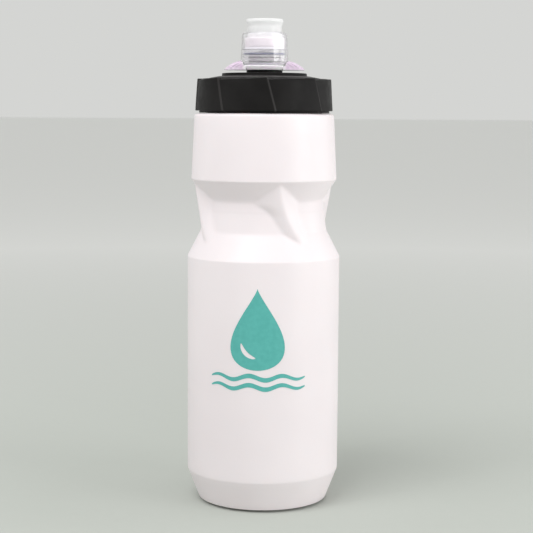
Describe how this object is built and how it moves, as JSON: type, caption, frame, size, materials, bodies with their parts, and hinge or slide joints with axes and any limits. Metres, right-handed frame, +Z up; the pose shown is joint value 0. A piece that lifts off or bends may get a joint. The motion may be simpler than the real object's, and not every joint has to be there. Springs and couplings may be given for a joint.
{
  "type": "sports squeeze bottle",
  "caption": "Soft squeeze drinking bottle with a twisted hand grip, a screw cap, a quarter-turn lockout dial and a self-sealing soft valve.",
  "frame": {"origin": "centre of the resting face, on the bottle's axis", "axes": "+Z up along the bottle's axis; -Y is the printed front; +X is to the right when facing the front"},
  "size_m": [0.074, 0.074, 0.2336],
  "materials": {
    "body_white": "satin moulded LDPE",
    "cap_black": "satin moulded PP",
    "gasket": "soft white seal",
    "seal_rubber": "dark rubber",
    "dial_lilac": "tinted translucent",
    "barrel_clear": "clear with a slight haze",
    "retainer_white": "smooth white",
    "valve_silicone": "milky translucent silicone"
  },
  "bodies": {
    "bottle": {"bottle_body": "body_white"},
    "seal_ring": {"cap_gasket": "gasket"},
    "cap": {"screw_cap": "cap_black", "post_seal": "seal_rubber", "shutter_seal": "seal_rubber"},
    "dial": {"lockout_dial": "dial_lilac", "collar_seal": "seal_rubber"},
    "mouthpiece": {"valve_barrel": "barrel_clear", "valve_retainer": "retainer_white", "jet_valve": "valve_silicone"}
  },
  "joints": [
    {"name": "cap_rise", "type": "slide", "parent": "bottle", "child": "seal_ring", "axis": [0, 0, 1], "range_m": [0, 0.015]},
    {"name": "cap_turn", "type": "hinge", "parent": "seal_ring", "child": "cap", "pos_m": [0, 0, 0.2035], "axis": [0, 0, 1], "range_deg": [0, 1080]},
    {"name": "dial_turn", "type": "hinge", "parent": "cap", "child": "dial", "pos_m": [0, 0, 0.213], "axis": [0, 0, 1], "range_deg": [0, 90]},
    {"name": "mouthpiece_pull", "type": "slide", "parent": "dial", "child": "mouthpiece", "axis": [0, 0, 1], "range_m": [0, 0.015]}
  ],
  "couplings": [
    {"joint": "cap_rise", "follows": "cap_turn", "m_per_rad": 0.00079577}
  ]
}
